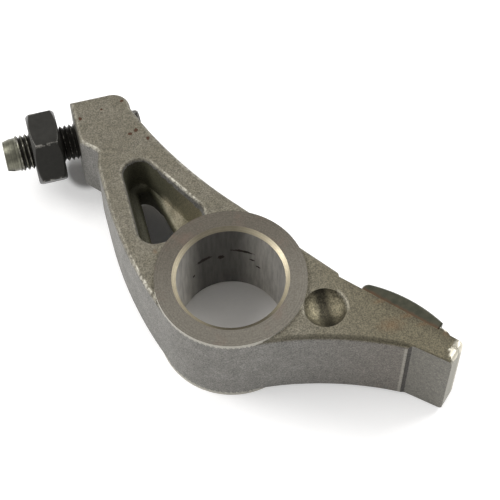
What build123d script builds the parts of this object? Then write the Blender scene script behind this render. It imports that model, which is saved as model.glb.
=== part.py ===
"""Rocker arm with brazed slipper pad, adjusting screw and lock nut.

Frame, in millimetres: Z is the axis of the shaft bore, X is the axis direction of
the adjusting screw (from the lock nut toward the foot), the origin is the middle
of the bore at half thickness. The slipper pad is laid out in its own plan frame,
turned so that U runs along the pad seat and V points out of it.
"""
from build123d import *
import os
from math import cos, hypot, radians, sin, sqrt, tan

# Shaft boss: a machined ring proud of the arm on both faces
BORE_D = 28.0
BOSS_D = 39.2
BOSS_W = 29.0
MOUTH_WIDTH = 1.1
MOUTH_DEPTH = 0.9

# Arm plate and its rounded edges
ARM_T = 27.5
EDGE_R = 1.4

# Screw boss at the end of the left arm
SCREW_Y = 60.3
SEAT_X = -28.5
SCREW_BOSS_T = 20.4
SCREW_BOSS_FRONT = 7.9
SCREW_BOSS_BACK = 6.2
SCREW_BOSS_LENGTH = 15.8
SCREW_BOSS_CORNER_R = 4.8

# Left arm: outer wall, notch below the screw boss, hollow back edge
WALL_X = -25.6
WALL_TANGENT_Y = 33.0
NOTCH_X = -24.4
NOTCH_DROP = 4.4
NOTCH_RETURN = 4.6
NOTCH_R = 1.6
SHOULDER_R = 6.0
BACK_EDGE_R = 132.0
BACK_EDGE_FOOT_R = 19.2
BACK_EDGE_FOOT_ANGLE = 41.6
THINNING_START_Y = 20.5

# Window through the left arm: a drafted pocket on each face, and a pierced web between them
WINDOW_LEFT_X = -20.0
WINDOW_TOP_Y = 42.6
WINDOW_TOP_RIGHT_X = -12.6
WINDOW_LOW_RIGHT_X = -1.7
WINDOW_LOW_RIGHT_Y = 23.0
WINDOW_DRAFT = 8.0
WINDOW_TOP_R = 4.2
WINDOW_RIGHT_R = 3.6
WINDOW_LOW_Y = 15.1
WINDOW_LOW_R = 4.6
WINDOW_RIM_R = 1.2
WEB_T = 4.0
WEB_LIP_LEFT = 2.3
WEB_LIP_TOP = 1.6
WEB_LIP_LOW = 3.0
PIERCING_TOP_WIDTH = 3.0
PIERCING_LOW_WIDTH = 7.7
PIERCING_R = 1.4

# Right arm, in the pad's plan frame (U along the seat, V out of it)
PAD_ANGLE = 43.5
SEAT_V = 14.9
SEAT_U = 30.1
SEAT_LENGTH = 21.9
BACK_START_U = 6.0
BACK_START_V = 17.9
STOP_HEIGHT = 1.3
STOP_WIDTH = 1.3
STOP_SLOPE = 1.9
BED_LEAD = 8.0
BED_RUN_IN = 1.1
TIP_LENGTH = 6.0
TIP_FRONT_V = 8.5
TIP_R = 2.7
RELIEF_LENGTH = 11.4
RELIEF_V = 7.4
RELIEF_STEP = 0.9
RELIEF_ROOT_R = 1.4
RELIEF_DEPTH = 3.0
ARCH_R = 92.0
ARCH_START_ANGLE = -92.6

# Dimple on both faces of the right arm
DIMPLE_D = 11.0
DIMPLE_DEPTH = 3.0
DIMPLE_REACH = 25.3
DIMPLE_ANGLE = -34.2

# Slipper pad
PAD_W = 25.0
PAD_THICKNESS = 4.4
PAD_CAM_R = 38.0
PAD_CREST_U = 41.3
PAD_OVERHANG = 0.6
PAD_END_GAP = 0.2
PAD_NOSE_R = 1.9
PAD_EDGE = 0.4

# Adjusting screw
THREAD_D = 10.0
SCREW_LENGTH = 38.5
FOOT_PROUD = 2.3
FOOT_CHAMFER = 0.5
SLOT_END_D = 9.1
SLOT_END_LENGTH = 3.6
SLOT_END_TAPER = 2.0
SLOT_END_BEVEL = 0.55
SLOT_W = 1.6
SLOT_DEPTH = 1.9
SLOT_TURN = 20.0

# Lock nut, run out away from its seat
NUT_AF = 19.0
NUT_T = 8.0
NUT_GAP = 4.7
NUT_TURN = 30.0
NUT_BEVEL = 30.0
NUT_FACE_STEP = 0.4

# Running clearance, radial, between the thread cylinders
THREAD_CLEARANCE = 0.05

# Tolerance for picking edges
FINE = 0.001

# Derived sizes
BOSS_R = BOSS_D / 2
BORE_R = BORE_D / 2
HALF_ARM = ARM_T / 2
HALF_SCREW_BOSS = SCREW_BOSS_T / 2
SCREW_R = THREAD_D / 2
THREADED_HOLE_R = SCREW_R + THREAD_CLEARANCE
SCREW_BOSS_RIGHT_X = SEAT_X + SCREW_BOSS_LENGTH
FOOT_X = SCREW_BOSS_RIGHT_X + FOOT_PROUD
SCREW_END_X = FOOT_X - SCREW_LENGTH
STOP_U = SEAT_U + SEAT_LENGTH
STOP_V = SEAT_V + STOP_HEIGHT
TIP_U = STOP_U + STOP_WIDTH + TIP_LENGTH
RELIEF_U = TIP_U - RELIEF_LENGTH
HALF_WEB = WEB_T / 2


def pad_point(u, v):
    """Point of the plan given in the pad's frame."""
    turn = radians(PAD_ANGLE - 90)
    return (u * cos(turn) - v * sin(turn), u * sin(turn) + v * cos(turn))


def hub_point(radius, angle):
    """Point of the plan given by its distance and direction from the bore."""
    return (radius * cos(radians(angle)), radius * sin(radians(angle)))


def wall_foot():
    """Point where the left arm's outer wall runs tangent into the shaft boss."""
    reach = WALL_X**2 + WALL_TANGENT_Y**2 - BOSS_R**2
    radius = reach / (2 * (-WALL_X - BOSS_R))
    centre_x = WALL_X + radius
    span = hypot(centre_x, WALL_TANGENT_Y)
    return (-BOSS_R * centre_x / span, -BOSS_R * WALL_TANGENT_Y / span)


def round_corner(sketch, point, radius):
    """Sketch with the corner nearest to a point rounded."""
    corner = sketch.vertices().sort_by_distance(Vertex(*point, 0))[0]
    return fillet(corner, radius)


def left_outline():
    """Plan of the left arm as forged, closed under the shaft boss."""
    front_y = SCREW_Y - SCREW_BOSS_FRONT
    back_y = SCREW_Y + SCREW_BOSS_BACK
    notch_y = front_y - NOTCH_DROP
    seat_corner = (SEAT_X, front_y)
    notch = (NOTCH_X, notch_y)
    wall_top = (WALL_X, notch_y - NOTCH_RETURN)
    wall_low = (WALL_X, WALL_TANGENT_Y)
    back_top = (SCREW_BOSS_RIGHT_X, SCREW_Y)
    back_foot = hub_point(BACK_EDGE_FOOT_R, BACK_EDGE_FOOT_ANGLE)
    with BuildSketch() as plan:
        with BuildLine():
            Polyline(back_top, (SCREW_BOSS_RIGHT_X, back_y), (SEAT_X, back_y), seat_corner)
            Polyline(seat_corner, notch, wall_top, wall_low)
            TangentArc(wall_low, wall_foot(), tangent=(0, -1))
            Polyline(wall_foot(), (0, 0), back_foot)
            RadiusArc(back_foot, back_top, BACK_EDGE_R)
        make_face()
    outline = round_corner(plan.sketch, (SCREW_BOSS_RIGHT_X, back_y), SCREW_BOSS_CORNER_R)
    outline = round_corner(outline, notch, NOTCH_R)
    return round_corner(outline, wall_top, SHOULDER_R)


def right_outline():
    """Plan of the right arm as forged, closed under the shaft boss."""
    arch_start = hub_point(BOSS_R, ARCH_START_ANGLE)
    step_low = pad_point(RELIEF_U, RELIEF_V - RELIEF_STEP)
    tip_front = pad_point(TIP_U, TIP_FRONT_V - RELIEF_STEP)
    tip_back = pad_point(TIP_U, STOP_V)
    bed_start = pad_point(SEAT_U - BED_LEAD, STOP_V)
    back_start = pad_point(BACK_START_U, BACK_START_V)
    with BuildSketch() as plan:
        with BuildLine():
            RadiusArc(arch_start, step_low, ARCH_R)
            Polyline(step_low, tip_front, tip_back, bed_start, back_start, (0, 0), arch_start)
        make_face()
    return round_corner(plan.sketch, tip_back, TIP_R)


def prism(outline, half_height):
    """Outline extruded the same distance above and below the middle plane."""
    return extrude(outline, half_height, both=True)


def window_plan(inset):
    """Plan of the window with sharp corners, drawn in from its rim; it runs under the shaft boss."""
    with BuildSketch() as plan:
        with BuildLine():
            Polyline(
                (WINDOW_LEFT_X, WINDOW_LOW_Y),
                (WINDOW_LEFT_X, WINDOW_TOP_Y),
                (WINDOW_TOP_RIGHT_X, WINDOW_TOP_Y),
                (WINDOW_LOW_RIGHT_X, WINDOW_LOW_RIGHT_Y),
                (WINDOW_LOW_RIGHT_X, WINDOW_LOW_Y),
                close=True,
            )
        make_face()
        offset(amount=-inset, kind=Kind.INTERSECTION)
    return plan.sketch


def wall_draft():
    """Distance the window's walls draw in between the rim and the web."""
    return (HALF_ARM - HALF_WEB) * tan(radians(WINDOW_DRAFT))


def pockets():
    """Cutters for the window's pockets, one from each face down to the web."""
    draft = wall_draft()
    floor = window_plan(draft)
    floor = round_corner(floor, (WINDOW_LEFT_X, WINDOW_TOP_Y), WINDOW_TOP_R - draft)
    floor = round_corner(floor, (WINDOW_TOP_RIGHT_X, WINDOW_TOP_Y), WINDOW_TOP_R - draft)
    floor = round_corner(floor, (WINDOW_LEFT_X, WINDOW_LOW_Y), WINDOW_LOW_R - draft)
    floor = round_corner(floor, (WINDOW_LOW_RIGHT_X, WINDOW_LOW_RIGHT_Y), WINDOW_RIGHT_R - draft)
    upper = extrude(Pos(0, 0, HALF_WEB) * floor, HALF_ARM, taper=-WINDOW_DRAFT)
    return upper + mirror(upper, Plane.XY)


def piercing():
    """Cutter for the hole punched through the web, narrow at the top and wide at the shaft boss."""
    left_x = WINDOW_LEFT_X + wall_draft() + WEB_LIP_LEFT
    low_y = WINDOW_LOW_Y + wall_draft() + WEB_LIP_LOW
    top_y = WINDOW_TOP_Y - wall_draft() - WEB_LIP_TOP
    with BuildSketch() as plan:
        Polygon(
            (left_x, low_y),
            (left_x, top_y),
            (left_x + PIERCING_TOP_WIDTH, top_y),
            (left_x + PIERCING_LOW_WIDTH, low_y),
            align=None,
        )
        offset(amount=-PIERCING_R, kind=Kind.INTERSECTION)
    return prism(offset(plan.sketch, amount=PIERCING_R, kind=Kind.ARC), WEB_T)


def thinning():
    """Cutters that slope the left arm's faces down toward the screw boss."""
    end_y = SCREW_Y + SCREW_BOSS_BACK
    with BuildSketch(Plane.YZ) as side:
        Polygon(
            (THINNING_START_Y, HALF_ARM),
            (end_y, HALF_SCREW_BOSS),
            (end_y, ARM_T),
            (THINNING_START_Y, ARM_T),
            align=None,
        )
    upper = extrude(side.sketch, BOSS_D, both=True)
    return upper + mirror(upper, Plane.XY)


def is_rim(edge):
    """True for an edge between a wall and a face of the arm."""
    box = edge.bounding_box()
    upright = box.size.Z > HALF_SCREW_BOSS / 2
    crease = box.size.Y < FINE and abs(box.min.Y - THINNING_START_Y) < FINE
    under_boss = edge.distance_to(Vector(0, 0, edge.center().Z)) < FINE
    on_face = abs(edge.center().Z) > HALF_SCREW_BOSS - FINE
    return on_face and not upright and not crease and not under_boss


def is_window_rim(edge):
    """True for a rim edge of the window, sharp or already rounded."""
    margin = WINDOW_RIM_R + FINE
    box = edge.bounding_box()
    in_x = box.min.X > WINDOW_LEFT_X - margin and box.max.X < WINDOW_LOW_RIGHT_X + margin
    in_y = box.min.Y > WINDOW_LOW_Y - margin and box.max.Y < WINDOW_TOP_Y + margin
    return is_rim(edge) and in_x and in_y


def left_arm():
    """Left arm with its thinned end, pierced window and rounded edges."""
    plate = prism(left_outline(), HALF_ARM) - thinning()
    rims = [edge for edge in plate.edges() if is_rim(edge)]
    plate = fillet(rims, EDGE_R) - pockets()
    plate = fillet([edge for edge in plate.edges() if is_window_rim(edge)], WINDOW_RIM_R)
    return plate - piercing()


def right_arm():
    """Right arm with rounded edges."""
    plate = prism(right_outline(), HALF_ARM)
    return fillet([edge for edge in plate.edges() if is_rim(edge)], EDGE_R)


def in_pad_frame(shape):
    """Shape laid out in U and V, turned into the plan of the part."""
    return Rot(0, 0, PAD_ANGLE - 90) * shape


def machined_cuts():
    """Cutters for the pad bed, the flat behind the stop and the relief under the tip."""
    bed_u = SEAT_U - BED_LEAD
    flat_u = STOP_U + STOP_WIDTH
    end_u = TIP_U + TIP_R
    with BuildSketch() as bed:
        Polygon(
            (bed_u, STOP_V),
            (bed_u + BED_RUN_IN, SEAT_V),
            (STOP_U, SEAT_V),
            (STOP_U, STOP_V),
            align=None,
        )
    with BuildSketch() as flat:
        Polygon(
            (flat_u, STOP_V),
            (flat_u + STOP_SLOPE, SEAT_V),
            (end_u, SEAT_V),
            (end_u, STOP_V),
            align=None,
        )
    with BuildSketch() as relief:
        Polygon(
            (RELIEF_U, RELIEF_V),
            (TIP_U + EDGE_R, TIP_FRONT_V),
            (TIP_U + EDGE_R, RELIEF_V - RELIEF_DEPTH),
            (RELIEF_U, RELIEF_V - RELIEF_DEPTH),
            align=None,
        )
    root = round_corner(relief.sketch, (RELIEF_U, RELIEF_V), RELIEF_ROOT_R)
    return in_pad_frame(prism(bed.sketch, ARM_T) + prism(flat.sketch, ARM_T) + prism(root, ARM_T))


def dimples():
    """Ball shaped hollows, one on each face of the right arm."""
    ball_r = ((DIMPLE_D / 2) ** 2 + DIMPLE_DEPTH**2) / (2 * DIMPLE_DEPTH)
    x = DIMPLE_REACH * cos(radians(DIMPLE_ANGLE))
    y = DIMPLE_REACH * sin(radians(DIMPLE_ANGLE))
    # The ball lies on its side, so neither of its poles is in the hollow
    ball = Pos(x, y, HALF_ARM - DIMPLE_DEPTH + ball_r) * Rot(90, 0, 0) * Sphere(ball_r)
    return ball + mirror(ball, Plane.XY)


def shaft_bore():
    """Cutter for the shaft bore with a bevelled mouth at each end."""
    half_w = BOSS_W / 2
    mouth_r = BORE_R + MOUTH_WIDTH
    with BuildSketch(Plane.XZ) as section:
        Polygon(
            (0, -half_w),
            (mouth_r, -half_w),
            (BORE_R, -half_w + MOUTH_DEPTH),
            (BORE_R, half_w - MOUTH_DEPTH),
            (mouth_r, half_w),
            (0, half_w),
            align=None,
        )
    return revolve(section.sketch, Axis.Z)


def rocker_body():
    """Forged arm with its shaft boss, machined faces, dimples and threaded hole."""
    body = left_arm() + (right_arm() - machined_cuts() - dimples())
    body = body + Cylinder(BOSS_R, BOSS_W) - shaft_bore()
    hole_length = SCREW_BOSS_LENGTH + 2 * FOOT_PROUD
    hole_x = SEAT_X + SCREW_BOSS_LENGTH / 2
    hole = Pos(hole_x, SCREW_Y, 0) * Rot(0, 90, 0) * Cylinder(THREADED_HOLE_R, hole_length)
    return body - hole


def cam_pad():
    """Slipper pad: flat on its bed, round toward the cam, with a round nose."""
    start_u = SEAT_U - PAD_OVERHANG
    end_u = STOP_U - PAD_END_GAP
    centre_v = SEAT_V + PAD_THICKNESS - PAD_CAM_R

    def cam_v(u):
        return centre_v + sqrt(PAD_CAM_R**2 - (u - PAD_CREST_U) ** 2)

    with BuildSketch() as plan:
        with BuildLine():
            Polyline((end_u, cam_v(end_u)), (end_u, SEAT_V), (start_u, SEAT_V), (start_u, cam_v(start_u)))
            RadiusArc((start_u, cam_v(start_u)), (end_u, cam_v(end_u)), PAD_CAM_R)
        make_face()
    outline = round_corner(plan.sketch, (start_u, cam_v(start_u)), PAD_NOSE_R)
    pad = prism(outline, PAD_W / 2)
    rim = [edge for edge in pad.edges() if is_pad_rim(edge)]
    return in_pad_frame(chamfer(rim, PAD_EDGE))


def is_pad_rim(edge):
    """True for the pad's outer edges on both side faces, clear of the bed."""
    box = edge.bounding_box()
    return box.size.Z < FINE and box.max.Y > SEAT_V + FINE


def revolve_x(points):
    """Half section turned about the X axis; points are (x, radius)."""
    with BuildSketch() as section:
        Polygon(*points, align=None)
    return revolve(section.sketch, Axis.X)


def adjusting_screw():
    """Threaded rod, foot toward +X, slotted plain end toward -X."""
    thread_x = SCREW_END_X + SLOT_END_LENGTH
    slot_r = SLOT_END_D / 2
    rod = revolve_x(
        [
            (SCREW_END_X, 0),
            (SCREW_END_X, slot_r - SLOT_END_BEVEL),
            (SCREW_END_X + SLOT_END_TAPER, slot_r),
            (thread_x, slot_r),
            (thread_x + SCREW_R - slot_r, SCREW_R),
            (FOOT_X - FOOT_CHAMFER, SCREW_R),
            (FOOT_X, SCREW_R - FOOT_CHAMFER),
            (FOOT_X, 0),
        ]
    )
    slot = Box(2 * SLOT_DEPTH, THREAD_D, SLOT_W)
    return Pos(0, SCREW_Y, 0) * (rod - Pos(SCREW_END_X, 0, 0) * Rot(SLOT_TURN, 0, 0) * slot)


def lock_nut():
    """Hexagon nut bevelled on both faces."""
    half_t = NUT_T / 2
    corner_r = NUT_AF / sqrt(3)
    bevel = (corner_r - NUT_AF / 2 + NUT_FACE_STEP) * tan(radians(NUT_BEVEL))
    centre_x = SEAT_X - NUT_GAP - half_t
    face_r = NUT_AF / 2 - NUT_FACE_STEP
    outside = Rot(0, 90, 0) * extrude(RegularPolygon(corner_r, 6), half_t, both=True)
    envelope = revolve_x(
        [
            (-half_t, 0),
            (-half_t, face_r),
            (bevel - half_t, corner_r),
            (half_t - bevel, corner_r),
            (half_t, face_r),
            (half_t, 0),
        ]
    )
    hole = Rot(0, 90, 0) * Cylinder(THREADED_HOLE_R, NUT_T)
    return Pos(centre_x, SCREW_Y, 0) * Rot(NUT_TURN, 0, 0) * ((outside & envelope) - hole)


def main():
    """Write one file per piece."""
    os.makedirs("parts", exist_ok=True)
    for piece in (rocker_body, cam_pad, adjusting_screw, lock_nut):
        export_step(piece(), os.path.join("parts", piece.__name__ + ".step"))


main()
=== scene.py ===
"""Rocker arm with its slipper pad, adjusting screw and lock nut, dressed for a studio view."""
from math import cos, pi, radians, sin, tan
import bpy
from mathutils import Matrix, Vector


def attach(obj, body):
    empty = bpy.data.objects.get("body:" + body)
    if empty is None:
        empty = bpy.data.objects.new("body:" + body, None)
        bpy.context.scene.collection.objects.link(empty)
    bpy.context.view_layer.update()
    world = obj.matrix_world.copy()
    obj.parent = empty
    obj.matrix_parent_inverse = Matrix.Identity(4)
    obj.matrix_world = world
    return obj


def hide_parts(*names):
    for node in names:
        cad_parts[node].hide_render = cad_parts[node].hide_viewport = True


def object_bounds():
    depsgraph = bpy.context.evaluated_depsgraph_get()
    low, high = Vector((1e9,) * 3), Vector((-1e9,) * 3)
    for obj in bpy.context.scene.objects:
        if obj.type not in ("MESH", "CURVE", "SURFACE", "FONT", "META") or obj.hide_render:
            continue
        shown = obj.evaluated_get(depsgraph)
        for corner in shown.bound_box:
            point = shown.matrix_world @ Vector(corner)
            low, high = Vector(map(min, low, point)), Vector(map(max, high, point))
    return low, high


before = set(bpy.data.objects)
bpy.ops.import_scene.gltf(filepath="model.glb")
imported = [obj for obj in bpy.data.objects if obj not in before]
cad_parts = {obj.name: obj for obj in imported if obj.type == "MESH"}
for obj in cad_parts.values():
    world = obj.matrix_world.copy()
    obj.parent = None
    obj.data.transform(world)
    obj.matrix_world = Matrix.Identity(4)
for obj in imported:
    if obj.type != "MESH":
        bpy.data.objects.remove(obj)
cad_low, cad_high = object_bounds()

from types import SimpleNamespace

import bmesh
import bpy
import numpy as np
from mathutils import Matrix, Vector

# ---------------------------------------------------------------------------
# Camera: a long lens that looks down on the arm from its front left, and is turned
# a little about its own axis. Its near clip suits a part that is 13 cm long.
CAMERA_PLACE = Vector((-0.0451, -0.1904, 0.3737))
CAMERA_AIM = Vector((0.1256, 0.4766, -0.8701))
CAMERA_ROLL = radians(-0.14)
CAMERA_LENS = 115.9
CAMERA_SENSOR = 36.0
CAMERA_NEAR = 0.01

camera_data = bpy.data.cameras.new("camera")
camera_data.lens = CAMERA_LENS
camera_data.sensor_width = CAMERA_SENSOR
camera_data.clip_start = CAMERA_NEAR
camera = bpy.data.objects.new("camera", camera_data)
camera_turn = CAMERA_AIM.to_track_quat("-Z", "Y").to_matrix().to_4x4()
camera.matrix_world = Matrix.Translation(CAMERA_PLACE) @ camera_turn @ Matrix.Rotation(CAMERA_ROLL, 4, "Z")
bpy.context.scene.collection.objects.link(camera)
bpy.context.scene.camera = camera
bpy.context.scene.view_settings.view_transform = "Standard"

# ---------------------------------------------------------------------------
# Rocker body: a steel drop forging, blasted all over. The boss faces, the bore, the bed
# of the pad and the relief under the tip are machined afterwards. Sizes are millimetres.
MM = 0.001
BORE_R = 14.0
MOUTH_WIDTH = 1.2
MOUTH_DEPTH = 1.0
BOSS_R = 19.6
STEP_DEPTH = 0.6
HALF_BOSS = 14.5
HALF_ARM = 13.75
SCREW_Y = 60.3
SCREW_SEAT_HALF = 8.5
PAD_ANGLE = radians(43.5)
BED_U = 21.1
SEAT_V = 14.9
RELIEF_U = 47.9
RELIEF_V = 8.6
ROOT_MIDDLE = 0.7
ROOT_HALF = 0.9
DIMPLE_CENTRE = (20.9, -14.2)
DIMPLE_R = 5.5
DIMPLE_DEPTH = 3.5
DIMPLE_RIM = 0.02
WINDOW_LEFT = -20.1
WINDOW_LOW = 15.0
WINDOW_TOP = 42.8
WINDOW_SLOPE = 0.556
WINDOW_RIGHT = 11.3
WINDOW_RIM = 10.7
HALF_WEB = 2.0
LIP_R = 1.6
HOLE_CORNER_R = 1.4
HOLE_CORNERS = ((-14.65, 21.15), (-14.65, 37.95), (-14.15, 37.95), (-10.13, 21.15))
LONGEST_EDGE = 1.6
FINE_EDGE = 0.5
WELD = 0.0005
ON_FACE = 0.06
CLEAR = 0.1


def corner_triangles(piece):
    """Corner places in millimetres and corner normals of a piece's triangles, each (n, 3, 3)."""
    mesh = piece.data
    places = np.empty(3 * len(mesh.vertices))
    mesh.vertices.foreach_get("co", places)
    index = np.empty(len(mesh.loops), dtype=np.int64)
    mesh.loops.foreach_get("vertex_index", index)
    normals = np.empty(3 * len(mesh.loops))
    mesh.corner_normals.foreach_get("vector", normals)
    return places.reshape(-1, 3)[index].reshape(-1, 3, 3) / MM, normals.reshape(-1, 3, 3)


def halved(values, is_long, unit):
    """Triangles split at the middle of their long edges, into one, two, three or four each."""
    count = is_long.sum(axis=1)
    patterns = {
        1: ((0, 3, 2), (3, 1, 2)),
        2: ((3, 1, 4), (0, 3, 4), (0, 4, 2)),
        3: ((0, 3, 5), (3, 1, 4), (5, 4, 2), (3, 4, 5)),
    }
    kept = [values[count == 0]]
    for number, pattern in patterns.items():
        flags = is_long[count == number]
        first = np.argmax(flags, axis=1) if number == 1 else (np.argmin(flags, axis=1) + 1) % 3
        order = (np.arange(3) + first[:, None]) % 3
        corners = np.take_along_axis(values[count == number], order[:, :, None], axis=1)
        middles = (corners + np.roll(corners, -1, axis=1)) / 2
        if unit:
            middles /= np.linalg.norm(middles, axis=2, keepdims=True)
        points = np.concatenate([corners, middles], axis=1)
        kept.extend(points[:, list(triple)] for triple in pattern)
    return np.concatenate(kept)


def segment_distance(x, y, start, end):
    """Distance in plan from places to a straight segment, at the nearest share, 0 to 1, of its length."""
    along_x, along_y = end[0] - start[0], end[1] - start[1]
    share = ((x - start[0]) * along_x + (y - start[1]) * along_y) / (along_x**2 + along_y**2)
    share = np.clip(share, 0, 1)
    return np.hypot(x - start[0] - share * along_x, y - start[1] - share * along_y)


def hole_distance(x, y):
    """Distance in plan outside the web's hole: the least one to its four sides, less its corner radius."""
    sides = zip(HOLE_CORNERS, HOLE_CORNERS[1:] + HOLE_CORNERS[:1])
    return np.min([segment_distance(x, y, *side) for side in sides], axis=0) - HOLE_CORNER_R


def divided(places, normals):
    """Triangles halved until no edge is longer than is allowed; round the hole the limit is finer."""
    while True:
        ahead = np.roll(places, -1, axis=1)
        x, y, z = np.moveaxis((places + ahead) / 2, -1, 0)
        by_lip = (hole_distance(x, y) < 2 * LIP_R) & (np.abs(z) < HALF_WEB + 1)
        is_long = np.linalg.norm(ahead - places, axis=2) > np.where(by_lip, FINE_EDGE, LONGEST_EDGE)
        if not is_long.any():
            return places, normals
        places, normals = halved(places, is_long, False), halved(normals, is_long, True)


def rounded_lip(places):
    """Web with its hole's edge rounded: height = half web - R + sqrt(R^2 - (R - distance)^2)."""
    x, y, z = places[..., 0], places[..., 1], places[..., 2]
    away = hole_distance(x, y)
    on_web = (np.abs(z) < HALF_WEB + ON_FACE) & (away < LIP_R) & (np.hypot(x, y) > BOSS_R - 1)
    short = LIP_R - np.clip(away, 0, LIP_R)
    drop = LIP_R - np.sqrt(np.clip(LIP_R**2 - short**2, 0, None))
    height = z * (HALF_WEB - drop) / HALF_WEB
    return np.stack([x, y, np.where(on_web, height, z)], axis=-1), on_web


def welded_mesh(name, places, normals, moved):
    """Mesh whose coinciding corners are one point; corners that were moved get averaged normals."""
    points = places.reshape(-1, 3)
    steps = np.round(points / WELD).astype(np.int64)
    _, first, index = np.unique(steps, axis=0, return_index=True, return_inverse=True)
    index = index.reshape(-1, 3)
    facing = np.cross(places[:, 1] - places[:, 0], places[:, 2] - places[:, 0])
    total = np.stack([np.bincount(index.ravel(), np.repeat(facing[:, k], 3)) for k in range(3)], axis=1)
    total /= np.maximum(np.linalg.norm(total, axis=1, keepdims=True), 1e-12)
    normals = np.where(moved[..., None], total[index], normals)
    whole = (index != np.roll(index, 1, axis=1)).all(axis=1)
    mesh = bpy.data.meshes.new(name)
    mesh.from_pydata((points[first] * MM).tolist(), [], index[whole].tolist())
    mesh.shade_smooth()
    mesh.normals_split_custom_set(normals[whole].reshape(-1, 3).tolist())
    return mesh, places[whole], normals[whole]


def add_value(mesh, name, domain, values):
    """Number stored on the mesh's faces, corners or points, for the material to read."""
    layer = mesh.attributes.new(name, "FLOAT", domain)
    layer.data.foreach_set("value", np.asarray(values, dtype=np.float32).ravel())


def pad_frame(places):
    """U = x sin(angle) - y cos(angle), along the pad's seat; V = x cos(angle) + y sin(angle), out of it."""
    x, y = places[..., 0], places[..., 1]
    return x * sin(PAD_ANGLE) - y * cos(PAD_ANGLE), x * cos(PAD_ANGLE) + y * sin(PAD_ANGLE)


def smooth_step(values, start, end):
    """Zero before the start, one after the end, and 3 s^2 - 2 s^3 of the share s between them."""
    share = np.clip((values - start) / (end - start), 0, 1)
    return share * share * (3 - 2 * share)


def surface_zones(mesh, places, normals):
    """Marks each finish's faces by where their middles lie, and how far each corner faces up or down."""
    x, y, z = places.mean(axis=1).T
    facing = normals.mean(axis=1)
    radius = np.hypot(x, y)
    height = np.abs(z)
    u, v = pad_frame(places.mean(axis=1))
    _, facing_out = pad_frame(facing)
    upright = np.abs(facing[:, 2]) < 0.3
    ring = (height > HALF_BOSS - ON_FACE) & (radius < BOSS_R + ON_FACE)
    mouth = (radius < BORE_R + MOUTH_WIDTH) & (height > HALF_BOSS - MOUTH_DEPTH) & ~ring
    bed = (u > BED_U) & (np.abs(v - SEAT_V) < ON_FACE) & (facing_out > 0.9)
    relief = (u > RELIEF_U - CLEAR) & (v < RELIEF_V) & (facing_out < -0.9)
    root = (np.abs(u - RELIEF_U - ROOT_MIDDLE) < ROOT_HALF) & (v < RELIEF_V + CLEAR) & ~relief & upright
    screw_seat = (facing[:, 0] < -0.9) & (y > SCREW_Y - SCREW_SEAT_HALF)
    between_sides = (x > WINDOW_LEFT) & (x + WINDOW_SLOPE * y < WINDOW_RIGHT)
    in_window = between_sides & (y > WINDOW_LOW) & (y < WINDOW_TOP)
    in_dimple = np.hypot(x - DIMPLE_CENTRE[0], y - DIMPLE_CENTRE[1]) < DIMPLE_R
    zones = {
        "ring": ring,
        "step": (np.abs(radius - BOSS_R) < ON_FACE) & (height > HALF_ARM - STEP_DEPTH) & ~ring,
        "mouth": mouth,
        "bore": (radius < BORE_R + ON_FACE) & ~mouth & ~ring,
        "cut": bed | relief | screw_seat,
        "root": root,
        "window": in_window & (radius > BOSS_R + CLEAR) & (height < WINDOW_RIM),
        "hollow": in_dimple & (height < HALF_ARM - DIMPLE_RIM) & (height > HALF_ARM - DIMPLE_DEPTH),
    }
    for name, faces in zones.items():
        add_value(mesh, name, "FACE", faces)
    add_value(mesh, "level", "CORNER", np.abs(normals[..., 2]))


def srgb(red, green, blue):
    """Linear colour, for a material, of a colour given as it looks on a screen, 0 to 255."""
    tone = np.array([red, green, blue]) / 255
    linear = np.where(tone <= 0.04045, tone / 12.92, ((tone + 0.055) / 1.055) ** 2.4)
    return (*linear.tolist(), 1.0)


def link(tree, socket, value):
    """Feeds a socket with another node's output, or sets its own value."""
    if isinstance(value, bpy.types.NodeSocket):
        tree.links.new(value, socket)
    else:
        socket.default_value = value


def node(tree, kind, inputs=(), output=0, **settings):
    """One shader node, with its settings made and its inputs fed; gives the output asked for."""
    made = tree.nodes.new("ShaderNode" + kind)
    for name, value in settings.items():
        setattr(made, name, value)
    for name, value in dict(inputs).items():
        link(tree, made.inputs[name], value)
    return made.outputs[output]


def maths(tree, operation, *values):
    """Result of one sum on numbers."""
    return node(tree, "Math", dict(enumerate(values)), operation=operation)


def product(tree, first, *others):
    """Several numbers multiplied together."""
    for value in others:
        first = maths(tree, "MULTIPLY", first, value)
    return first


def greatest(tree, first, *others):
    """Greatest of several numbers."""
    for value in others:
        first = maths(tree, "MAXIMUM", first, value)
    return first


def mixed(tree, share, first, second):
    """Colour between two, by a share from 0 to 1."""
    inputs = {0: share, 6: first, 7: second}
    return node(tree, "Mix", inputs, output=2, data_type="RGBA")


def between(tree, value, start, end, low=0.0, high=1.0):
    """Smooth rise from low to high while the value goes from start to end."""
    inputs = {"Value": value, "From Min": start, "From Max": end, "To Min": low, "To Max": high}
    return node(tree, "MapRange", inputs, interpolation_type="SMOOTHSTEP")


def grain(tree, place, scale, detail=2.0, roughness=0.5):
    """Noise from 0 to 1, with the scale in grains per millimetre."""
    inputs = {"Vector": place, "Scale": scale, "Detail": detail, "Roughness": roughness}
    return node(tree, "TexNoise", inputs)


def stored(tree, name):
    """Number that the mesh carries."""
    return node(tree, "Attribute", output=2, attribute_name=name)


def place_in_mm(tree):
    """Place on the piece, in millimetres."""
    place = node(tree, "TexCoord", output=3)
    return node(tree, "VectorMath", {0: place, 3: 1 / MM}, operation="SCALE")


def vector(tree, x, y, z):
    """Vector put together from three numbers."""
    return node(tree, "CombineXYZ", {0: x, 1: y, 2: z})


def axes_of(tree, place):
    """The three numbers of a vector."""
    split = node(tree, "SeparateXYZ", {0: place}).node
    return split.outputs[0], split.outputs[1], split.outputs[2]


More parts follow.
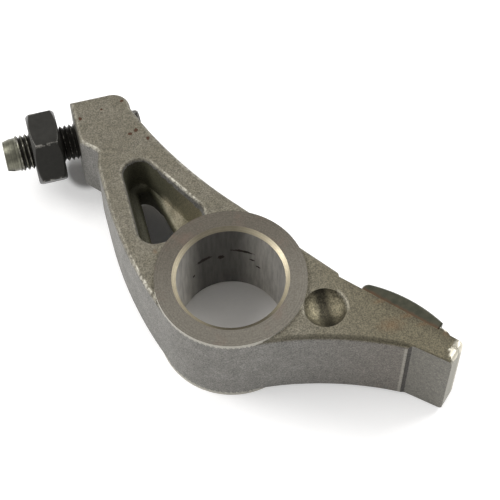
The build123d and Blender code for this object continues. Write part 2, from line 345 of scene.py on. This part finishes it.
def shaded(tree, colour, value):
    """Colour made darker or lighter by a factor."""
    parts = colour[:3] if isinstance(colour, tuple) else colour
    return node(tree, "VectorMath", {0: parts, 3: value}, operation="SCALE")


def mottled(tree, colour, noise, low, high):
    """Colour made darker to lighter, from low to high, by a noise about its middle."""
    return shaded(tree, colour, between(tree, noise, 0.3, 0.7, low, high))


def near(tree, place, centre, size, torn, inner=0.75):
    """One inside a patch of a given size round a centre, zero outside, with an edge torn by a noise."""
    away = node(tree, "VectorMath", {0: place, 1: centre}, operation="SUBTRACT")
    away = node(tree, "VectorMath", {0: away, 1: size}, operation="DIVIDE")
    away = node(tree, "VectorMath", {0: away}, output=1, operation="LENGTH")
    return between(tree, maths(tree, "ADD", away, torn), 1.15, inner)


def patches(tree, place, torn, spots, inner=0.75):
    """One inside any of the patches, each given as a centre and a size."""
    total = 0.0
    for centre, size in spots:
        total = maths(tree, "MAXIMUM", near(tree, place, centre, size, torn, inner), total)
    return total


def new_material(name):
    """Empty material, its node tree and its shader."""
    material = bpy.data.materials.new(name)
    material.use_nodes = True
    return material, material.node_tree, material.node_tree.nodes["Principled BSDF"]


# each patch is its centre and its size along the three axes
RUST_PATCHES = (
    ((48.0, -29.0, 13.4), (1.2, 1.6, 1.6)),
    ((35.5, -23.2, 13.75), (4.6, 2.6, 1.0)),
    ((34.8, -16.0, 13.6), (3.0, 0.9, 1.0)),
    ((40.5, -21.6, 13.6), (3.6, 1.1, 1.0)),
    ((44.5, -25.0, 13.6), (3.6, 1.0, 1.0)),
    ((-16.8, 12.6, 13.75), (0.8, 1.0, 0.6)),
)
RUST_SPECKS = (
    ((-14.8, 51.2, 11.4), (0.7, 0.5, 0.7)),
    ((-13.0, 52.0, 11.3), (0.6, 0.6, 0.7)),
    ((-10.5, 48.5, 11.6), (0.5, 0.6, 0.7)),
    ((-14.5, 62.9, 10.5), (0.6, 0.5, 0.7)),
    ((-26.8, 59.9, 10.7), (0.5, 0.6, 0.9)),
    ((-20.5, 61.5, 10.6), (0.4, 0.4, 0.7)),
)
BARE_PATCHES = (
    ((47.3, -26.4, 13.4), (0.7, 0.8, 1.0)),
    ((48.4, -35.2, 13.6), (1.5, 2.3, 1.2)),
    ((50.6, -33.0, 12.6), (1.3, 1.6, 2.2)),
    ((48.7, -27.6, 13.0), (1.0, 1.3, 1.2)),
)
# patches where the edges get painted highlights
EDGE_HIGHLIGHTS = (
    ((-26.0, 50.2, 10.8), (3.2, 3.6, 1.8)),
    ((-20.6, 7.0, 13.0), (4.0, 9.0, 2.0)),
    ((-5.5, 30.5, 12.0), (6.0, 10.0, 3.0)),
)
# patches of painted highlight on the web's rounded ridge in the window
WEB_RIDGE_HIGHLIGHT = (
    ((-9.2, 33.0, 2.0), (1.6, 5.0, 2.5)),
    ((-7.8, 27.6, 2.0), (2.2, 4.6, 2.5)),
)
# patches of painted highlight on the dimple's rim
DIMPLE_RIM_HIGHLIGHTS = (
    ((26.4, -12.6, 13.4), (1.6, 4.0, 1.2)),
    ((15.4, -12.2, 13.4), (1.0, 3.0, 1.2)),
)
OIL_SPOTS = (
    ((-4.0, 13.4, 2.0), (2.4, 1.5, 0.8)),
    ((0.8, 14.0, 0.4), (0.9, 1.0, 1.0)),
    ((6.6, 12.3, 3.6), (3.4, 2.0, 0.6)),
    ((8.6, 11.1, 0.2), (0.8, 0.8, 0.4)),
    ((9.9, 9.9, -2.2), (0.8, 0.8, 0.4)),
    ((-7.2, 12.0, -3.0), (0.5, 0.5, 0.5)),
)
# slant of the window's painted shade, which darkens toward the boss
SHADE_LEAN = 0.55
ALONG_SEAT = (sin(PAD_ANGLE), -cos(PAD_ANGLE), 0.0)
OUT_OF_SEAT = (cos(PAD_ANGLE), sin(PAD_ANGLE), 0.0)
ZONES = ("ring", "step", "mouth", "bore", "cut", "root", "window", "hollow")


def read_forging(tree):
    """What the forging's finishes are worked out from: places, distances, grains of noise and zones."""
    place = place_in_mm(tree)
    east, north, _ = axes_of(tree, place)
    radius = node(tree, "VectorMath", {0: vector(tree, east, north, 0.0)}, output=1, operation="LENGTH")
    return SimpleNamespace(
        place=place,
        east=east,
        north=north,
        u=node(tree, "VectorMath", {0: place, 1: ALONG_SEAT}, output=1, operation="DOT_PRODUCT"),
        v=node(tree, "VectorMath", {0: place, 1: OUT_OF_SEAT}, output=1, operation="DOT_PRODUCT"),
        level=stored(tree, "level"),
        fine=grain(tree, place, 2.6, 3.0, 0.6),
        coarse=grain(tree, place, 0.9, 3.0, 0.6),
        blotch=grain(tree, place, 0.16, 3.0, 0.6),
        torn=maths(tree, "MULTIPLY_ADD", grain(tree, place, 1.3, 4.0, 0.7), 1.6, -0.8),
        turning=grain(tree, vector(tree, radius, 0.0, 0.0), 3.0, 3.0, 0.6),
        **{zone: stored(tree, zone) for zone in ZONES},
    )


def blasted_skin(tree, at):
    """Faces olive with oil, darker toward the pad and its bed; walls a cleaner grey; grain and pits."""
    tone = between(tree, at.blotch, 0.35, 0.65)
    face = mixed(tree, tone, srgb(106, 101, 87), srgb(113, 108, 95))
    face = mixed(tree, between(tree, at.east, 5.0, 38.0), face, srgb(98, 92, 74))
    by_pad = between(tree, at.east, 26.0, 38.0, 0.0, 0.7)
    by_bed = product(tree, between(tree, at.v, SEAT_V - 3.2, SEAT_V), by_pad)
    face = mixed(tree, by_bed, face, srgb(76, 70, 54))
    wall = mixed(tree, tone, srgb(123, 121, 116), srgb(133, 131, 126))
    wall = mixed(tree, between(tree, at.east, 8.0, 40.0, 0.0, 0.8), wall, srgb(112, 106, 98))
    colour = mixed(tree, between(tree, at.level, 0.2, 0.75), wall, face)
    colour = mottled(tree, colour, at.fine, 0.62, 1.42)
    colour = mottled(tree, colour, at.coarse, 0.88, 1.12)
    pits = between(tree, grain(tree, at.place, 0.8, 5.0, 0.7), 0.66, 0.72, 0.0, 0.75)
    return mixed(tree, pits, colour, srgb(62, 54, 40))


def window_shade_and_ridge_highlight(tree, at, colour):
    """Painted shade in the window, darkest at its upper left and toward its left wall, and a painted
    highlight on the web's rounded ridge.
    """
    # painted shade: darker toward the upper left and the left wall, where the window's walls hide the light
    toward_boss = maths(tree, "MULTIPLY_ADD", at.north, -SHADE_LEAN, at.east)
    window_shade = mixed(tree, between(tree, toward_boss, -31.0, -14.0), srgb(100, 98, 80), srgb(132, 125, 102))
    # painted highlight on the web's ridge
    window_shade = mixed(tree, patches(tree, at.place, 0.0, WEB_RIDGE_HIGHLIGHT, 0.2), window_shade, srgb(172, 164, 142))
    window_shade = shaded(tree, window_shade, between(tree, at.east, -17.0, -11.5, 0.55, 1.0))
    window_shade = mottled(tree, window_shade, at.fine, 0.72, 1.32)
    return mixed(tree, at.window, colour, window_shade)


def dimple_painted_reflection(tree, at, colour):
    """Dimple with a painted reflection: dark down its middle and bright at its sides, lighter at its left,
    with painted shade at its edge and painted highlights on its rim.
    """
    middle, _ = DIMPLE_CENTRE
    across = maths(tree, "ABSOLUTE", maths(tree, "ADD", at.east, -middle))
    centre = (*DIMPLE_CENTRE, HALF_ARM - 1.5)
    out = node(tree, "VectorMath", {0: at.place, 1: centre}, output=1, operation="DISTANCE")
    to_right = between(tree, at.east, middle - 2.0, middle + 2.0)
    # painted reflection of the lamps: lighter at the left, dark down the middle, bright at the sides, with
    # painted shade toward the edge
    dimple_shading = mixed(tree, to_right, srgb(124, 118, 98), srgb(108, 102, 84))
    dimple_shading = shaded(tree, dimple_shading, between(tree, across, 0.5, 2.8, 0.3, 1.2))
    dimple_shading = shaded(tree, dimple_shading, between(tree, out, 3.9, 5.7, 1.0, 0.5))
    dimple_shading = shaded(tree, dimple_shading, between(tree, at.coarse, 0.35, 0.65, 0.78, 1.25))
    dimple_shading = mottled(tree, dimple_shading, at.fine, 0.65, 1.5)
    colour = mixed(tree, at.hollow, colour, dimple_shading)
    # painted highlight on parts of the rim
    rim_highlight = product(tree, between(tree, out, 5.0, 5.6), between(tree, out, 6.6, 6.0))
    rim_highlight = product(tree, rim_highlight, patches(tree, at.place, at.torn, DIMPLE_RIM_HIGHLIGHTS))
    rim_highlight = product(tree, rim_highlight, between(tree, at.fine, 0.35, 0.65, 0.1, 0.45))
    return mixed(tree, rim_highlight, colour, srgb(206, 200, 182))


def edge_highlight_share(tree, at):
    """How far an edge is painted with highlight: edges lie between a wall and a face, outside the dimple and
    the window.
    """
    edge = product(tree, between(tree, at.level, 0.3, 0.55), between(tree, at.level, 0.98, 0.88))
    open_skin = maths(tree, "SUBTRACT", 1.0, greatest(tree, at.hollow, at.window))
    return product(tree, edge, open_skin, between(tree, at.coarse, 0.36, 0.6))


def edge_highlights_and_dark_line(tree, at, colour, highlit_edge):
    """Painted highlights along the edges of the left arm, and a darker line along the lower front edge of the
    right arm.
    """
    a_little = between(tree, at.east, 4.0, -2.0, 0.0, 0.12)
    most = patches(tree, at.place, at.torn, EDGE_HIGHLIGHTS, 0.3)
    glint_and_wear = maths(tree, "MULTIPLY_ADD", most, 0.42, a_little)
    # painted highlight along the edges
    colour = mixed(tree, product(tree, highlit_edge, glint_and_wear), colour, srgb(222, 218, 204))
    dark_front_edge = product(
        tree,
        between(tree, at.east, 4.0, 12.0, 0.0, 0.4),
        between(tree, at.north, -14.0, -18.0),
        between(tree, at.level, 0.5, 0.8),
        between(tree, at.level, 0.998, 0.97),
    )
    return mixed(tree, dark_front_edge, colour, srgb(52, 48, 36))


def tip_wear_and_lip_highlight(tree, at, colour):
    """Clean end of the tip, its upper corner rubbed bare, and a painted highlight on the edge above the
    relief's root.
    """
    end = product(tree, between(tree, at.u, 57.6, 58.9, 0.0, 0.6), between(tree, at.level, 0.9, 0.6))
    colour = mixed(tree, end, colour, srgb(190, 188, 176))
    corner = product(tree, between(tree, at.u, 56.6, 57.8), between(tree, at.v, SEAT_V - 2.6, SEAT_V - 1.4))
    corner = product(tree, corner, between(tree, at.coarse, 0.3, 0.55, 0.15, 0.6))
    colour = mixed(tree, corner, colour, srgb(226, 221, 206))
    # painted highlight along the edge above the relief's root
    lip_highlight = product(
        tree,
        between(tree, at.u, RELIEF_U - 0.9, RELIEF_U - 0.5),
        between(tree, at.u, RELIEF_U + 0.1, RELIEF_U - 0.1),
        between(tree, at.level, 0.3, 0.1, 0.0, 0.4),
    )
    return mixed(tree, lip_highlight, colour, srgb(196, 192, 180))


def rusty(tree, at, colour):
    """Small dark specks of rust and a few soft brown patches."""
    colour = mixed(tree, patches(tree, at.place, at.torn, RUST_SPECKS), colour, srgb(70, 46, 30))
    rust = product(tree, patches(tree, at.place, at.torn, RUST_PATCHES, -0.2), 0.42)
    return mixed(tree, rust, colour, srgb(112, 82, 52))


def machined(tree, at, colour):
    """Turned ring with a painted highlight on its step, the bevelled mouth with painted highlights at its
    left and right sides, and the milled faces.
    """
    turned = mixed(tree, between(tree, at.north, -6.0, 15.0), srgb(116, 111, 101), srgb(98, 92, 82))
    turned = mottled(tree, turned, at.fine, 0.82, 1.16)
    turned = mottled(tree, turned, at.turning, 0.88, 1.1)
    turned = mixed(tree, between(tree, at.blotch, 0.5, 0.72, 0.0, 0.35), turned, srgb(122, 100, 88))
    colour = mixed(tree, at.ring, colour, turned)
    # painted highlight on the step round the ring
    colour = mixed(tree, product(tree, at.step, 0.7), colour, srgb(206, 202, 190))
    bevel = mixed(tree, at.coarse, srgb(160, 150, 126), srgb(196, 186, 162))
    # painted highlights on the bevel at its left and right sides, where the lamps catch it
    bevel = shaded(tree, bevel, between(tree, maths(tree, "ABSOLUTE", at.east), 4.0, 13.0, 0.55, 1.3))
    bevel = shaded(tree, bevel, between(tree, at.turning, 0.35, 0.65, 0.85, 1.12))
    colour = mixed(tree, at.mouth, colour, bevel)
    milled = mottled(tree, srgb(109, 106, 97), at.fine, 0.66, 1.36)
    return mixed(tree, at.cut, colour, mottled(tree, milled, at.coarse, 0.82, 1.16))


def lit_honed_bore(tree, at, colour):
    """Honed bore with faint streaks along it, painted shade down its middle and painted light on its left and
    right walls, and drops of old oil.
    """
    drawn_out = node(tree, "VectorMath", {0: at.place, 1: (1.0, 1.0, 0.12)}, operation="MULTIPLY")
    honed_lit = mottled(tree, srgb(146, 144, 140), grain(tree, drawn_out, 1.1, 4.0, 0.65), 0.82, 1.18)
    # painted shade in the middle of the bore and painted light on its left and right walls
    honed_lit = shaded(tree, honed_lit, between(tree, at.east, -4.0, -13.0, 0.5, 3.2))
    honed_lit = shaded(tree, honed_lit, between(tree, at.east, 4.0, 13.0, 1.0, 4.2))
    honed_lit = mixed(tree, patches(tree, at.place, at.torn, OIL_SPOTS), honed_lit, srgb(38, 24, 14))
    return mixed(tree, at.bore, colour, honed_lit)


def forged_steel():
    """Blasted steel with every finish and painted light laid over it; machined faces and the edges with
    painted highlights are smoother and shine more.
    """
    material, tree, shader = new_material("forged_steel")
    at = read_forging(tree)
    colour = window_shade_and_ridge_highlight(tree, at, blasted_skin(tree, at))
    # painted shade, with some dirt, in the concave root under the relief's step
    colour = shaded(tree, colour, maths(tree, "MULTIPLY_ADD", at.root, -0.68, 1.0))
    colour = dimple_painted_reflection(tree, at, colour)
    highlit_edge = edge_highlight_share(tree, at)
    colour = edge_highlights_and_dark_line(tree, at, colour, highlit_edge)
    colour = rusty(tree, at, tip_wear_and_lip_highlight(tree, at, colour))
    colour = machined(tree, at, colour)
    bare = patches(tree, at.place, at.torn, BARE_PATCHES)
    colour = mixed(tree, product(tree, bare, 0.85), colour, srgb(236, 230, 212))
    link(tree, shader.inputs["Base Color"], lit_honed_bore(tree, at, colour))
    smooth = greatest(tree, at.ring, at.mouth, at.bore, at.cut, bare)
    rough = maths(tree, "MULTIPLY_ADD", smooth, -0.16, 0.54)
    rough = maths(tree, "MULTIPLY_ADD", at.coarse, 0.08, rough)
    link(tree, shader.inputs["Roughness"], maths(tree, "MULTIPLY_ADD", highlit_edge, -0.14, rough))
    shiny = greatest(tree, at.bore, at.mouth, at.hollow)
    link(tree, shader.inputs["Metallic"], maths(tree, "MULTIPLY_ADD", shiny, 0.3, 0.5))
    height = product(tree, at.fine, maths(tree, "MULTIPLY_ADD", smooth, -0.85, 1.0))
    height = maths(tree, "MULTIPLY_ADD", at.turning, product(tree, at.ring, 0.1), height)
    bump = {"Height": height, "Distance": 0.0002, "Strength": 0.8}
    link(tree, shader.inputs["Normal"], node(tree, "Bump", bump))
    return material


def add_piece(name, mesh, material, body, node_name):
    """Finished piece at the origin, that rides on a body and stands for a node."""
    mesh.materials.append(material)
    piece = bpy.data.objects.new(name, mesh)
    bpy.context.scene.collection.objects.link(piece)
    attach(piece, body)
    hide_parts(node_name)
    return piece


body_places, body_normals = divided(*corner_triangles(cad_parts["rocker_body"]))
body_places, lip_moved = rounded_lip(body_places)
body_mesh, body_places, body_normals = welded_mesh("rocker_forging", body_places, body_normals, lip_moved)
surface_zones(body_mesh, body_places, body_normals)
forging = add_piece("rocker_forging", body_mesh, forged_steel(), "rocker", "rocker_body")

# ---------------------------------------------------------------------------
# Slipper pad: hardened steel, ground to a large radius on its back and brazed on its bed.
# Its solid has the right shape already, so the pad only gets its finish.


def pad_steel():
    """Dark, smooth hardened steel, with a brown tide line where a torn height above the bed is small."""
    material, tree, shader = new_material("hardened_pad")
    place = place_in_mm(tree)
    patch = grain(tree, place, 0.5, 3.0, 0.6)
    colour = mixed(tree, between(tree, patch, 0.3, 0.7), srgb(54, 55, 43), srgb(68, 67, 54))
    height = node(tree, "VectorMath", {0: place, 1: OUT_OF_SEAT}, output=1, operation="DOT_PRODUCT")
    torn_height = maths(tree, "MULTIPLY_ADD", patch, -1.6, height)
    tide = between(tree, torn_height, SEAT_V + 0.9, SEAT_V - 0.5, 0.0, 0.75)
    link(tree, shader.inputs["Base Color"], mixed(tree, tide, colour, srgb(92, 62, 40)))
    link(tree, shader.inputs["Roughness"], maths(tree, "MULTIPLY_ADD", patch, 0.15, 0.32))
    shader.inputs["Metallic"].default_value = 0.6
    bump = {"Height": grain(tree, place, 4.0, 3.0, 0.6), "Distance": 0.00003, "Strength": 0.5}
    link(tree, shader.inputs["Normal"], node(tree, "Bump", bump))
    return material


pad_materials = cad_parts["cam_pad"].data.materials
pad_materials.clear()
pad_materials.append(pad_steel())

# ---------------------------------------------------------------------------
# Adjusting screw: M10 x 1.25 rod in black oxide, with a plain slotted end to the left
# and a plain foot to the right, screwed through the end of the left arm.
PITCH = 1.25
THREAD_CREST_R = 4.97
THREAD_DEPTH = 0.7
THREAD_FLAT = 0.125
THREAD_START_X = -45.2
THREAD_STOP_X = -13.6
THREAD_STEP = 0.1
ROD_COLUMNS = 120
SCREW_END_X = -48.9
SCREW_END_R = 3.9
END_BEVEL = (0.12, 4.05)
END_TAPER = 2.0
PLAIN_END_R = 4.55
PLAIN_END_LENGTH = 3.4
FOOT_X = -10.4
FOOT_R = 4.5
FOOT_BEVEL = 0.5
SLOT_W = 1.6
SLOT_DEPTH = 1.9
SLOT_REACH = 6.0
SLOT_TURN = radians(20)
CRISP_ANGLE = radians(32)
NUT_X = -37.2


def thread_groove(x, angle):
    """Depth, 0 to 1, of a right-hand thread; its phase is the turns along the axis less those round it.

    The depth is (1 - flat - |2 phase - 1|) / (1 - 2 flat), cut off to flat crests and flat roots."""
    phase = (x / PITCH - angle / (2 * pi)) % 1.0
    return np.clip((1 - THREAD_FLAT - np.abs(2 * phase - 1)) / (1 - 2 * THREAD_FLAT), 0, 1)


def turned_grid(name, x, radius):
    """Surface carried round the screw's axis, on a grid of rows and angles that closes on itself.

    Each place is (x, the axis + radius * cos(angle), radius * sin(angle))."""
    rows, columns = x.shape
    angle = np.arange(columns) * 2 * pi / columns
    places = np.stack([x, SCREW_Y + radius * np.cos(angle), radius * np.sin(angle)], axis=2) * MM
    here = np.arange(rows * columns).reshape(rows, columns)
    right = np.roll(here, -1, axis=1)
    quads = np.stack([here[:-1], right[:-1], right[1:], here[1:]], axis=2).reshape(-1, 4)
    mesh = bpy.data.meshes.new(name)
    mesh.from_pydata(places.reshape(-1, 3).tolist(), [], quads.tolist())
    return mesh


def finish_mesh(mesh, angle):
    """Merges doubled points, turns the faces outwards and keeps edges sharper than an angle crisp."""
    work = bmesh.new()
    work.from_mesh(mesh)
    bmesh.ops.remove_doubles(work, verts=work.verts, dist=1e-7)
    bmesh.ops.dissolve_degenerate(work, edges=work.edges, dist=1e-8)
    bmesh.ops.recalc_face_normals(work, faces=work.faces)
    work.to_mesh(mesh)
    work.free()
    mesh.shade_smooth()
    mesh.set_sharp_from_angle(angle=angle)


def screw_mesh():
    """Rod: its profile's radius less the thread's groove, which fades in and out at the thread's two ends."""
    cap = [(SCREW_END_X, r) for r in (0.0, 1.0, 2.0, 3.0, SCREW_END_R)]
    bevel = [(SCREW_END_X + END_BEVEL[0], END_BEVEL[1])]
    plain = [(SCREW_END_X + length, PLAIN_END_R) for length in (END_TAPER, PLAIN_END_LENGTH)]
    run_x = np.arange(THREAD_START_X + THREAD_STEP, THREAD_STOP_X + 4 * THREAD_STEP, THREAD_STEP)
    run = [(x, THREAD_CREST_R) for x in run_x]
    foot = [(FOOT_X - FOOT_BEVEL, THREAD_CREST_R)] + [(FOOT_X, r) for r in (FOOT_R, 3.0, 1.5, 0.0)]
    profile = np.array(cap + bevel + plain + run + foot)
    x = np.repeat(profile[:, :1], ROD_COLUMNS, axis=1)
    angle = np.arange(ROD_COLUMNS) * 2 * pi / ROD_COLUMNS
    fade_in = smooth_step(x, THREAD_START_X - 0.2, THREAD_START_X + 0.9)
    fade_out = smooth_step(x, THREAD_STOP_X, THREAD_STOP_X - 1.2)
    groove = THREAD_DEPTH * fade_in * fade_out * thread_groove(x, angle[None, :])
    return turned_grid("threaded_screw", x, profile[:, 1:] - groove)


def cut_slot(mesh):
    """The screw less a box as wide and deep as the slot, turned about the axis and reaching past the rod."""
    half = np.array([SLOT_DEPTH, SLOT_REACH, SLOT_W / 2])
    signs = np.array([(a, b, c) for a in (-1, 1) for b in (-1, 1) for c in (-1, 1)])
    box = signs * half
    y = box[:, 1] * cos(SLOT_TURN) - box[:, 2] * sin(SLOT_TURN)
    z = box[:, 1] * sin(SLOT_TURN) + box[:, 2] * cos(SLOT_TURN)
    places = np.stack([box[:, 0] + SCREW_END_X, y + SCREW_Y, z], axis=1) * MM
    sides = [(0, 1, 3, 2), (4, 6, 7, 5), (0, 4, 5, 1), (2, 3, 7, 6), (0, 2, 6, 4), (1, 5, 7, 3)]
    cutter_mesh = bpy.data.meshes.new("slot_cutter")
    cutter_mesh.from_pydata(places.tolist(), [], sides)
    cutter = bpy.data.objects.new("slot_cutter", cutter_mesh)
    rod = bpy.data.objects.new("slot_rod", mesh)
    for part in (cutter, rod):
        bpy.context.scene.collection.objects.link(part)
    cut = rod.modifiers.new("slot", "BOOLEAN")
    cut.object = cutter
    cut.operation = "DIFFERENCE"
    cut.solver = "EXACT"
    solid = bpy.data.meshes.new_from_object(rod.evaluated_get(bpy.context.evaluated_depsgraph_get()))
    bpy.data.objects.remove(rod)
    bpy.data.objects.remove(cutter)
    return solid


def black_oxide(name, dark, light, glint_and_wear_strength):
    """Black oxide over turned steel, with painted shade on the side toward the front; bare, and worn with
    painted glints, where the mesh says so.
    """
    material, tree, shader = new_material(name)
    place = place_in_mm(tree)
    east, north, _ = axes_of(tree, place)
    patch = grain(tree, place, 0.9, 4.0, 0.6)
    turning = grain(tree, vector(tree, east, 0.0, 0.0), 3.0, 3.0, 0.6)
    colour = mixed(tree, patch, dark, light)
    # painted shade on the side of the screw and nut that faces the front
    colour = shaded(tree, colour, between(tree, north, SCREW_Y - 7.0, SCREW_Y - 3.0, 0.7, 1.0))
    bare = mottled(tree, srgb(112, 111, 97), turning, 0.7, 1.3)
    colour = mixed(tree, stored(tree, "bare"), colour, mottled(tree, bare, patch, 0.8, 1.2))
    glint_and_wear = product(tree, stored(tree, "glint_and_wear"), between(tree, patch, 0.45, 0.65), glint_and_wear_strength)
    link(tree, shader.inputs["Base Color"], mixed(tree, glint_and_wear, colour, srgb(176, 172, 164)))
    link(tree, shader.inputs["Roughness"], maths(tree, "MULTIPLY_ADD", patch, 0.2, 0.26))
    shader.inputs["Metallic"].default_value = 0.75
    bump = {"Height": grain(tree, place, 5.0, 3.0, 0.6), "Distance": 0.00003, "Strength": 0.6}
    link(tree, shader.inputs["Normal"], node(tree, "Bump", bump))
    return material


def point_places(mesh):
    """Each point's place along the screw and its distance from the axis, in millimetres."""
    places = np.empty(3 * len(mesh.vertices))
    mesh.vertices.foreach_get("co", places)
    x, y, z = places.reshape(-1, 3).T / MM
    return x, np.hypot(y - SCREW_Y, z)


rod_mesh = screw_mesh()
finish_mesh(rod_mesh, CRISP_ANGLE)
rod_mesh = cut_slot(rod_mesh)
rod_mesh.name = "threaded_screw"
finish_mesh(rod_mesh, CRISP_ANGLE)
rod_x, rod_radius = point_places(rod_mesh)
plain_end = smooth_step(rod_x, THREAD_START_X + 0.1, THREAD_START_X - 0.2)
crests = smooth_step(rod_radius, THREAD_CREST_R - 0.5, THREAD_CREST_R - 0.15)
outside_nut = smooth_step(rod_x, NUT_X - 3.6, NUT_X - 4.6)
# painted glints, with some wear, on the thread's crests
add_value(rod_mesh, "glint_and_wear", "POINT", smooth_step(rod_radius, THREAD_CREST_R - 0.15, THREAD_CREST_R))
add_value(rod_mesh, "bare", "POINT", np.maximum(plain_end, 0.75 * crests * outside_nut))
rod_material = black_oxide("black_oxide_screw", srgb(44, 42, 38), srgb(64, 62, 56), 0.75)
rod = add_piece("threaded_screw", rod_mesh, rod_material, "screw", "adjusting_screw")

# ---------------------------------------------------------------------------
# Lock nut: M10 hexagon nut, 19 mm across flats, in black oxide. It is bevelled on both
# faces, threaded, and run out on the screw away from its seat.
HALF_NUT = 4.0
NUT_FLAT = 9.5
NUT_FACE_R = 9.1
NUT_FACE_ROWS_R = (7.9, 7.0)
NUT_BEVEL = radians(30)
NUT_HOLE_R = 5.06
NUT_THREAD_DEPTH = 0.35
NUT_MOUTH = 0.6
CORNER_SOFTNESS = 0.5
RIM_SOFTNESS = 0.3
GLINT_AND_WEAR_CORNERS_R = (10.7, 10.84)
NUT_COLUMNS = 360
FLANK_ROWS = 61
HOLE_ROWS = 57


def soft_min(first, second, width):
    """Lesser of two values, less width / 4 times the square of how far they are closer than the width."""
    share = np.clip(width - np.abs(first - second), 0, None) / width
    return np.minimum(first, second) - share * share * width / 4


def nut_mesh():
    """Closed loop carried round the axis: over the flank, in over a face, through the hole and out again.

    The flank's radius is the lesser of the hexagon, half its width / cos(angle from the nearest flat), and
    the bevel's cone, face radius + depth / tan(bevel), with the step between them rounded."""
    angle = np.arange(NUT_COLUMNS) * 2 * pi / NUT_COLUMNS
    turned = [angle - radians(30 + 60 * side) for side in range(6)]
    flats = np.sort([NUT_FLAT / np.maximum(np.cos(turn), 0.05) for turn in turned], axis=0)
    hexagon = soft_min(flats[0], flats[1], CORNER_SOFTNESS)
    flank_x = HALF_NUT * np.sin(np.linspace(pi / 2, -pi / 2, FLANK_ROWS))
    cone = NUT_FACE_R + (HALF_NUT - np.abs(flank_x)) / tan(NUT_BEVEL)
    flank_r = soft_min(hexagon[None, :], cone[:, None], RIM_SOFTNESS)
    face_r = np.array([*NUT_FACE_ROWS_R, NUT_HOLE_R + NUT_MOUTH])
    face_r = np.repeat(face_r[:, None], NUT_COLUMNS, axis=1)
    mouth_x = HALF_NUT - NUT_MOUTH
    hole_x = np.linspace(-mouth_x, mouth_x, HOLE_ROWS)
    groove = NUT_THREAD_DEPTH * thread_groove(hole_x[:, None] + NUT_X, angle[None, :])
    fade = smooth_step(np.abs(hole_x), mouth_x, mouth_x - 0.8)[:, None]
    left, right = np.full(len(face_r), -HALF_NUT), np.full(len(face_r), HALF_NUT)
    x = np.concatenate([flank_x, left, hole_x, right, flank_x[:1]])
    radius = np.concatenate([flank_r, face_r, NUT_HOLE_R + groove * fade, face_r[::-1], flank_r[:1]])
    return turned_grid("lock_nut_hexagon", np.repeat(x[:, None] + NUT_X, NUT_COLUMNS, axis=1), radius)


hexagon_mesh = nut_mesh()
finish_mesh(hexagon_mesh, CRISP_ANGLE)
_, nut_radius = point_places(hexagon_mesh)
# painted glints, with some wear, on the nut's corners
add_value(hexagon_mesh, "glint_and_wear", "POINT", smooth_step(nut_radius, *GLINT_AND_WEAR_CORNERS_R))
add_value(hexagon_mesh, "bare", "POINT", np.zeros(len(nut_radius)))
nut_material = black_oxide("black_oxide_nut", srgb(56, 55, 52), srgb(68, 67, 63), 0.6)
nut = add_piece("lock_nut_hexagon", hexagon_mesh, nut_material, "nut", "lock_nut")

# ---------------------------------------------------------------------------
# Floor: one plain pale sheet that the part lies on and that keeps its shadow. It glows a
# little where it is seen, mirrored or seen through, which lightens the shadow, except
# under the bore, the window and the nut, where it stays as dark as the light leaves it.
FLOOR_REACH = 2.0
FLOOR_GLOW = 0.44
UNDER_BORE = ((0.0, 0.0, 0.0), (18.5, 18.5, 60.0))
UNDER_NUT = ((-27.5, 60.0, 0.0), (6.0, 7.0, 60.0))


def under_window(tree, place):
    """One on the floor under the left arm's window, zero outside, with soft borders along its sides."""
    east, north, _ = axes_of(tree, place)
    rightward = maths(tree, "MULTIPLY_ADD", north, WINDOW_SLOPE, east)
    return product(
        tree,
        between(tree, rightward, WINDOW_RIGHT + 3.0, WINDOW_RIGHT + 0.5),
        between(tree, east, WINDOW_LEFT - 2.0, WINDOW_LEFT),
        between(tree, north, 8.0, 12.0),
        between(tree, north, 46.5, 43.5),
    )


def floor_sheet():
    """Matt pale sheet with a faint mottle, and its glow."""
    material, tree, shader = new_material("floor")
    place = place_in_mm(tree)
    mottle = between(tree, grain(tree, place, 0.8, 3.0, 0.6), 0.3, 0.7, 0.98, 1.0)
    link(tree, shader.inputs["Base Color"], shaded(tree, srgb(222, 221, 220), mottle))
    shader.inputs["Roughness"].default_value = 0.9
    shader.inputs["Specular IOR Level"].default_value = 0.1
    shader.inputs["Emission Color"].default_value = (1, 1, 1, 1)
    hidden = [near(tree, place, centre, size, 0.0) for centre, size in (UNDER_BORE, UNDER_NUT)]
    covered = greatest(tree, under_window(tree, place), *hidden)
    camera_ray, glossy_ray, transmission_ray = (node(tree, "LightPath", output=ray) for ray in (0, 3, 6))
    seen = greatest(tree, camera_ray, glossy_ray, transmission_ray)
    glow = product(tree, maths(tree, "SUBTRACT", 1.0, covered), FLOOR_GLOW)
    link(tree, shader.inputs["Emission Strength"], product(tree, seen, glow))
    return material


floor_mesh = bpy.data.meshes.new("floor")
floor_sides = ((-1, -1), (1, -1), (1, 1), (-1, 1))
floor_corners = [(x * FLOOR_REACH, y * FLOOR_REACH, cad_low[2]) for x, y in floor_sides]
floor_mesh.from_pydata(floor_corners, [], [(0, 1, 2, 3)])
floor_mesh.materials.append(floor_sheet())
floor = bpy.data.objects.new("floor", floor_mesh)
bpy.context.scene.collection.objects.link(floor)

# ---------------------------------------------------------------------------
# Light: two square soft boxes behind the part, to its left and right, and an even
# white sky that fills the shadows.
SKY_STRENGTH = 0.45
BOX_SIZE = 0.45


def soft_box(name, place, power):
    """Square lamp at a place, turned toward the part."""
    data = bpy.data.lights.new(name, "AREA")
    data.size = BOX_SIZE
    data.energy = power
    lamp = bpy.data.objects.new(name, data)
    turn = (-Vector(place)).to_track_quat("-Z", "Y").to_matrix().to_4x4()
    lamp.matrix_world = Matrix.Translation(place) @ turn
    bpy.context.scene.collection.objects.link(lamp)


soft_box("left_box", (-0.60, 0.30, 0.65), 6.0)
soft_box("right_box", (0.60, 0.20, 0.65), 5.0)
world = bpy.data.worlds.new("world")
bpy.context.scene.world = world
world.use_nodes = True
sky = world.node_tree.nodes["Background"].inputs
sky["Color"].default_value = (1, 1, 1, 1)
sky["Strength"].default_value = SKY_STRENGTH
